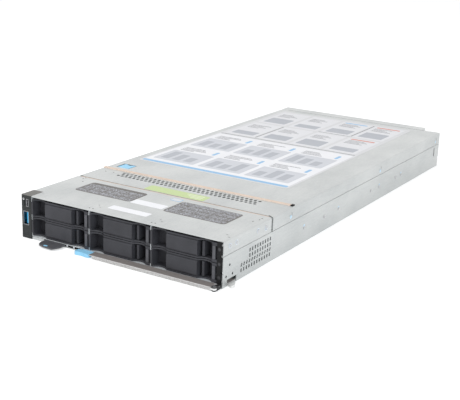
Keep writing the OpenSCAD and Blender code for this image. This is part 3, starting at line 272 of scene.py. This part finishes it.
def tone_top_faces(material, colour, roughness=0.5):
    """Another matt colour on the faces that look up, inside the walls; on the lever's top it is painted
    shade.
    """
    tree = material.node_tree
    shader = tree.nodes["Principled BSDF"]
    up = maths(tree, "MULTIPLY", facing_up(tree), left_of(tree, (LEFT + WIDTH) * MM))
    below = shader.inputs["Base Color"].links[0].from_socket
    grain = noise(tree, 0.8, (6, 1, 1), 2)
    darker = chip(*(c * 0.93 for c in colour))
    top_tone = blend_colours(tree, spread(tree, grain, 0, 1, 0.4, 0.6), darker, chip(*colour))
    link(tree, blend_colours(tree, up, below, top_tone), shader.inputs["Base Color"])
    metal = shader.inputs["Metallic"].default_value
    if metal > 0:
        link(tree, spread(tree, up, metal, 0.1, 0, 1), shader.inputs["Metallic"])
        gloss = shader.inputs["Roughness"].links[0].from_socket
        link(tree, maths(tree, "MAXIMUM", gloss, maths(tree, "MULTIPLY", up, roughness)),
             shader.inputs["Roughness"])
    return material


def plated_sheet(name, colour, shade, roughness=0.36, metallic=0.85, grain=(1, 30, 1)):
    """Zinc-plated steel: a fine rolled grain, faint clouds, and handling marks in the gloss."""
    material, tree, shader = start_finish(name, colour, metallic, roughness)
    rolled = noise(tree, 0.35, grain, 3)
    clouds = noise(tree, 38, (1, 1.6, 1), 3)
    fine = noise(tree, 1.6, (1, 1, 1), 2)
    mixed = maths(tree, "ADD", maths(tree, "MULTIPLY", rolled, 0.35),
                  maths(tree, "ADD", maths(tree, "MULTIPLY", clouds, 0.45),
                        maths(tree, "MULTIPLY", fine, 0.20)))
    link(tree, blend_colours(tree, spread(tree, mixed, 0, 1, 0.38, 0.62), chip(*shade), chip(*colour)),
         shader.inputs["Base Color"])
    link(tree, spread(tree, mixed, roughness + 0.07, roughness - 0.05, 0.38, 0.62),
         shader.inputs["Roughness"])
    emboss(tree, shader, rolled, 0.10, 0.02)
    return material


def moulded(name, colour, roughness=0.55, sparkle=0.14, grain_mm=0.3, wear=1.25, specular=0.5):
    """Moulded plastic: an eroded texture with a little lightness in its high spots."""
    material, tree, shader = start_finish(name, colour, 0.0, roughness)
    shader.inputs["Specular IOR Level"].default_value = specular
    texture = noise(tree, grain_mm, (1, 1, 1), 3)
    clouds = noise(tree, 16, (1, 1, 1), 2)
    lighter = tuple(min(255, c * wear + 3) for c in colour)
    mixed = maths(tree, "ADD", maths(tree, "MULTIPLY", texture, 0.6),
                  maths(tree, "MULTIPLY", clouds, 0.4))
    link(tree, blend_colours(tree, spread(tree, mixed, 0, 1, 0.4, 0.62), chip(*colour), chip(*lighter)),
         shader.inputs["Base Color"])
    link(tree, spread(tree, clouds, roughness - 0.06, roughness + 0.08), shader.inputs["Roughness"])
    emboss(tree, shader, texture, sparkle, 0.05)
    return material


print("finish helpers ready")

# %% [markdown]
# Now the finishes themselves. The sheets are zinc-plated steel, the modules and the ears are
# textured black plastic, and every touch point a technician may pull is pale blue.

# %% Make the finishes and give them to the solids
finishes = {
    "sheet_steel": plated_sheet("sheet_steel", (216, 218, 217), (200, 203, 203)),
    # cage_steel is paler than the other sheet partly as painted light, lifting its floor out of the
    # shade under the modules.
    "cage_steel": plated_sheet("cage_steel", (230, 233, 235), (208, 212, 214), 0.45, 0.3),
    "black_plastic": moulded("black_plastic", (18, 18, 19), 0.55, specular=0.25),
    "panel_plastic": tone_top_faces(moulded("panel_plastic", (45, 47, 47), 0.55, specular=0.3),
                              (128, 126, 123)),
    "module_plastic": moulded("module_plastic", (56, 56, 60), 0.48, 0.2, specular=0.3),
    "latch_plastic": moulded("latch_plastic", (74, 74, 78), 0.42, 0.15),
    "blue_plastic": moulded("blue_plastic", (154, 216, 252), 0.42, 0.08, wear=1.02),
    "port_blue": moulded("port_blue", (45, 150, 196), 0.35, 0.04),
    "connector_black": moulded("connector_black", (32, 32, 33), 0.5),
    "tag_plastic": moulded("tag_plastic", (71, 71, 74), 0.5, 0.2),
    "gasket_black": moulded("gasket_black", (22, 22, 23), 0.8),
    "duct_plastic": moulded("duct_plastic", (46, 46, 49), 0.4),
    "bracket_black": moulded("bracket_black", (26, 26, 27), 0.4),
    "dark_screw": plated_sheet("dark_screw", (88, 88, 90), (60, 60, 62), 0.3),
    "port_shell": plated_sheet("port_shell", (206, 206, 208), (176, 176, 180), 0.22, 1.0),
    "pin_steel": plated_sheet("pin_steel", (212, 213, 214), (184, 186, 188), 0.24, 1.0),
    "fin_aluminium": plated_sheet("fin_aluminium", (212, 214, 217), (188, 191, 195), 0.32, 1.0),
    "processor_lid": plated_sheet("processor_lid", (200, 201, 203), (176, 178, 181), 0.3, 1.0),
    # The lever's darker brown-grey top tone is painted shade laid over its grain.
    "lever_metal": tone_top_faces(plated_sheet("lever_metal", (250, 250, 249), (236, 235, 233), 0.34, 0.4,
                                         (30, 1, 1)), (148, 141, 138)),
    "gasket_tan": moulded("gasket_tan", (222, 203, 188), 0.85, 0.4, 0.5, 1.05),
    "circuit_board": moulded("circuit_board", (18, 78, 48), 0.34, 0.05, 1.2),
    "memory_board": moulded("memory_board", (22, 92, 56), 0.34, 0.05, 1.2),
}
for row in frame["record"]["subparts"]:
    solid = frame["nodes"][row["node"]]
    finish = finishes[row["material_slot"]]
    if not solid.material_slots:
        solid.data.materials.append(finish)
    for slot in solid.material_slots:
        slot.material = finish

# %% [markdown]
# A label is a thin film with print on it. Printing with an image would need a picture file, so
# each printed patch is its own very thin card instead, a hair above the film. The outlines are
# drawn flat, and a placing function lays them on the top, on the right wall or on the front.

# %% Helpers for labels and small marks
FILM = 0.1      # thickness of a label
INK = 0.02      # how far each printed layer stands above the one below


def card(x0, y0, x1, y1, corner=1.0, steps=3):
    """A rectangle with rounded corners, counter-clockwise."""
    centres = ((x1 - corner, y0 + corner, -90), (x1 - corner, y1 - corner, 0),
               (x0 + corner, y1 - corner, 90), (x0 + corner, y0 + corner, 180))
    turns = [(x, y, math.radians(first + 90 * step / steps))
             for x, y, first in centres for step in range(steps + 1)]
    return [(x + corner * math.cos(turn), y + corner * math.sin(turn)) for x, y, turn in turns]


def rule(x0, y0, x1, y1):
    """A small patch of ink with its corners just broken."""
    return card(x0, y0, x1, y1, min(0.8, (x1 - x0) * 0.3, (y1 - y0) * 0.3), 1)


def disc(x, y, radius, flatten=1.0, sides=20):
    """A round mark, or an oval one when flatten isn't 1."""
    turns = [2 * math.pi * side / sides for side in range(sides)]
    return [(x + radius * math.cos(t), y + radius * flatten * math.sin(t)) for t in turns]


def on_right_wall(back, up, out):
    """The right wall's own plane: back, up, and out from the wall."""
    return at(WIDTH + out, back, up)


def on_front(right, up, out):
    """The front plane: right, up, and out towards the user."""
    return at(right, -out, up)


def top_of(node, right, back):
    """How high a solid's upper face is at one place."""
    hit, point, _, _ = frame["nodes"][node].ray_cast(at(right, back, 300), Vector((0, 0, -1)))
    if not hit:
        raise ValueError(f"{node} has nothing at {right}, {back}")
    return point.z / MM


def printed(name, body, level, layers, place=at, film=FILM):
    """One label: each layer is a finish and its outlines, a hair above the layer before it."""
    mesh = bpy.data.meshes.new(name)
    shape = bmesh.new()
    for index, (finish, outlines) in enumerate(layers):
        mesh.materials.append(finish)
        bottom = level - 0.03 if index == 0 else level + film / 2
        top = level + film + INK * index
        for outline in outlines:
            low = [shape.verts.new(place(x, y, bottom)) for x, y in outline]
            high = [shape.verts.new(place(x, y, top)) for x, y in outline]
            faces = [shape.faces.new(high), shape.faces.new(low[::-1])]
            faces += [shape.faces.new((low[i - 1], low[i], high[i], high[i - 1]))
                      for i in range(len(low))]
            for face in faces:
                face.material_index = index
    shape.to_mesh(mesh)
    shape.free()
    piece = bpy.data.objects.new(name, mesh)
    bpy.context.scene.collection.objects.link(piece)
    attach(piece, body)
    print(name, len(mesh.polygons), "faces at", round(level, 2))
    return piece


def speckled(name, colour, speck, roughness=0.45, grain_mm=0.9):
    """A dark film with fine pale specks, such as a sealed metal foil shows."""
    material, tree, shader = start_finish(name, colour, 0.0, roughness)
    grains = noise(tree, grain_mm, (1.8, 1, 1), 3)
    link(tree, blend_colours(tree, spread(tree, grains, 0, 1, 0.47, 0.56), chip(*colour), chip(*speck)),
         shader.inputs["Base Color"])
    emboss(tree, shader, grains, 0.05, 0.02)
    return material


paper = {name: moulded(name, colour, 0.5, 0.02, 0.7, 1.012) for name, colour in {
    "paper_white": (247, 247, 251), "paper_grey": (224, 224, 226),
    "paper_pale": (235, 235, 238), "paper_green": (202, 219, 160),
    "ink_pale": (236, 242, 214), "ink_light": (214, 216, 222), "ink_mid": (186, 189, 196),
    "ink_dark": (92, 94, 100), "ink_blue": (150, 196, 232), "ink_red": (215, 132, 116),
    # The black mark colour is painted shade for small pressed marks in the sheet.
    "mark_shade_black": (24, 24, 26)}.items()}
paper["foil_dark"] = speckled("foil_dark", (106, 102, 99), (176, 179, 188))
paper["foil_edge"] = speckled("foil_edge", (98, 94, 91), (112, 108, 105))
print(len(paper), "films and inks")

# %% [markdown]
# The front plate carries two dark foils, two blank white stickers, a small blue one, and pairs
# of dark spots of painted shade that stand for small pressed marks. Nothing on them can be read, so
# they stay blank.

# %% Stick the labels on the front plate
plate_level = top_of("front_top_plate", 125, 40)
for name, x0, y0 in (("left_foil_label", 32, 46), ("right_foil_label", 150, 42)):
    printed(name, "chassis", plate_level, [
        (paper["foil_edge"], [card(x0, y0, x0 + 74, 80, 4)]),
        (paper["foil_dark"], [card(x0 + 1.6, y0 + 1.6 + 9.4 * n, x0 + 72.4, y0 + 9.4 + 9.4 * n, 2)
                              for n in range(round((80 - y0) / 10))]),
        (paper["foil_edge"], [rule(x0 + 14 + 17 * n, y0 + 3, x0 + 15 + 17 * n, y0 + 18)
                              for n in range(3)])])
printed("front_blank_stickers", "chassis", plate_level, [
    (paper["paper_white"], [card(101, 16, 149, 27, 1), card(107, 45, 147, 58, 1)])])
printed("small_blue_sticker", "chassis", plate_level, [
    (paper["ink_blue"], [card(135, 77, 147.5, 85, 1)]),
    (paper["paper_grey"], [card(135.7, 77.7, 146.8, 84.3, 0.7)])])
columns = sorted({round(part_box(f"bay_blank_{n}")[0].x / MM - LEFT) for n in range(1, 7)})
spots = [(x + side, 5.5) for x in columns[1:] for side in (-3.2, 1.2)]
spots += [(13, 84), (13, 88), (20, 75), (244, 76), (244, 81), (241, 68)]
# These dark spots are painted shade standing for small pressed marks in the plate.
printed("plate_mark_shade", "chassis", plate_level, [
    (paper["mark_shade_black"], [disc(x, y, 0.8, sides=12) for x, y in spots])], film=0.03)

# %% [markdown]
# The long service label on the cover has a white half and a grey half. The real one explains
# the machine, so this one keeps only the sort of thing it has, which is frames, slabs, rules
# and a few coloured bars, in an arrangement of its own.

# %% Lay out the service label
cover_level = top_of("system_cover", 110, 300)
front_panels = [(18 + 64 * column, 208 + 80 * row, column, row)
                for column in range(3) for row in range(2)]
rear_panels = [(16 + 49 * column, 377 + 87 * row, column, row)
               for column in range(4) for row in range(2)]
slabs = [rule(x + 6 + 16 * n, y + 7, x + 17 + 16 * n, y + 41 - 7 * ((column + row + n) % 3))
         for x, y, column, row in front_panels for n in range(3)]
slabs += [rule(x + 5, y + 7, x + 39, y + 26 + 6 * ((column + 2 * row) % 3))
          for x, y, column, row in rear_panels]
rules = [rule(x + 4, y + 53 + 4.4 * n, x + 24 + 3 * ((5 * n + column + row) % 6), y + 54.2 + 4.4 * n)
         for x, y, column, row in front_panels for n in range(4)]
rules += [rule(x + 5, y + 50 + 5.2 * n, x + 22 + 3 * ((3 * n + column + row) % 5), y + 51.3 + 5.2 * n)
          for x, y, column, row in rear_panels for n in range(4)]
rules += [rule(13, 371.6, 210, 372.6), rule(113.2, 463, 160, 464), rule(62, 378, 63, 456),
          rule(160.4, 466, 161.4, 544)]
blue_bars = [rule(x + 50, y + 53, x + 54, y + 68) for x, y, column, row in front_panels]
blue_bars += [rule(13, 193, 210, 199), rule(114 + 5, 464 + 72, 114 + 39, 464 + 76)]
red_bars = [rule(163 + 5, y + 72, 163 + 39, y + 76) for y in (377, 464)]
printed("service_label", "cover", cover_level, [
    (paper["paper_grey"], [card(10, 190, 213, 553, 4)]),
    (paper["paper_white"], [card(13, 193, 210, 368, 2)]),
    (paper["paper_pale"], [card(x, y, x + 44, y + 81, 2) for x, y, _, _ in rear_panels]),
    (paper["ink_light"], [card(x, y, x + 58, y + 48, 2) for x, y, _, _ in front_panels]),
    (paper["ink_mid"], slabs),
    (paper["ink_dark"], rules),
    (paper["ink_blue"], blue_bars),
    (paper["ink_red"], red_bars)])

# %% [markdown]
# Nearer the front the cover has a green sticker and two dark spots of painted shade for small
# pressed marks. Its motif is three bars of growing length, which mean nothing.

# %% Stick the green label on the cover
green_level = top_of("system_cover", 125, 100)
printed("green_label", "cover", green_level, [
    (paper["paper_green"], [card(89, 93.5, 165, 110, 1.5)]),
    (paper["ink_pale"], [rule(146 - 4 * n, 97 + 4 * n, 160, 98.6 + 4 * n) for n in range(3)])])
# These two dark spots are painted shade standing for small pressed marks in the cover.
printed("cover_mark_shade", "cover", top_of("system_cover", 13, 124), [
    (paper["mark_shade_black"], [disc(13, 124, 0.8, sides=12), disc(23.5, 125, 0.8, sides=12)])], film=0.03)
cover_rear = cover_high.y / MM - FRONT
print("cover ends at", round(cover_rear, 1))
printed("cover_rear_line", "cover", top_of("system_cover", 110, cover_rear - 3), [
    (paper["ink_dark"], [rule(12, cover_rear - 2.2, 228, cover_rear - 1.2)])], film=0.03)

# %% [markdown]
# The small marks are flat discs in layers: rivet heads with a pale ring round a ring of painted shade
# for the groove, and shallow dimples on the right wall drawn as discs of painted highlight, two white
# rivets on the tag's guide, the tag's blue oval, and a plain ring on the panel.

# %% Add the rivets, dimples, the tag's oval and the panel's mark
ring_places = [(11, 40), (23, 40), (63, 40.6), (78.6, 39)]
ring_metal = plated_sheet("ring_metal", (236, 243, 250), (214, 224, 234), 0.3, 0.3)
# The darker ring between the two pale ones is painted shade for the rivet's groove.
ring_groove_shade = plated_sheet("ring_groove_shade", (160, 170, 178), (140, 150, 158), 0.4, 0.5)
printed("side_rivet_rings", "chassis", 0, [
    (ring_metal, [disc(y, z, 2.6) for y, z in ring_places]),
    (ring_groove_shade, [disc(y, z, 1.9) for y, z in ring_places]),
    (ring_metal, [disc(y, z, 1.4) for y, z in ring_places])], on_right_wall, 0.25)
# The pale bluish discs on the dimples are painted highlight.
dimple_highlight = moulded("dimple_highlight", (206, 230, 246), 0.35, 0.02, 0.8, 1.01)
printed("cover_side_dimples", "cover", 0, [
    (dimple_highlight, [disc(y, z, 2.1) for y, z in ((130.5, 37), (361, 36.5), (551, 36.8))])],
    on_right_wall, 0.03)
printed("wall_dimples", "chassis", 0, [
    (dimple_highlight, [disc(y, z, 2.0) for y, z in ((162, 19), (246, 18.5), (361, 18.5), (430, 18.5))])],
    on_right_wall, 0.03)
printed("tag_oval", "tag", top_of("info_tag", 44.4, -14.2), [
    (finishes["blue_plastic"], [disc(44.4, -14.2, 2.6, 0.62)])], film=0.12)
guide_low, guide_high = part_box("tag_guide")
guide_up = (guide_low.z + guide_high.z) / 2 / MM
printed("guide_rivets", "chassis", FRONT - guide_low.y / MM, [
    (paper["paper_white"], [disc(61, guide_up, 0.9, sides=14), disc(70, guide_up, 0.9, sides=14)]),
    (paper["ink_light"], [disc(61, guide_up, 0.5, sides=14), disc(70, guide_up, 0.5, sides=14)])],
    on_front, 0.3)
panel_low, panel_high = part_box("control_panel")
mark_right, mark_up = panel_low.x / MM - LEFT + 3.4, panel_high.z / MM - 4.6
printed("panel_mark", "chassis", FRONT - panel_low.y / MM, [
    (paper["paper_white"], [disc(mark_right, mark_up, 1.1)]),
    (finishes["panel_plastic"], [disc(mark_right, mark_up, 0.65)])], on_front, 0.04)
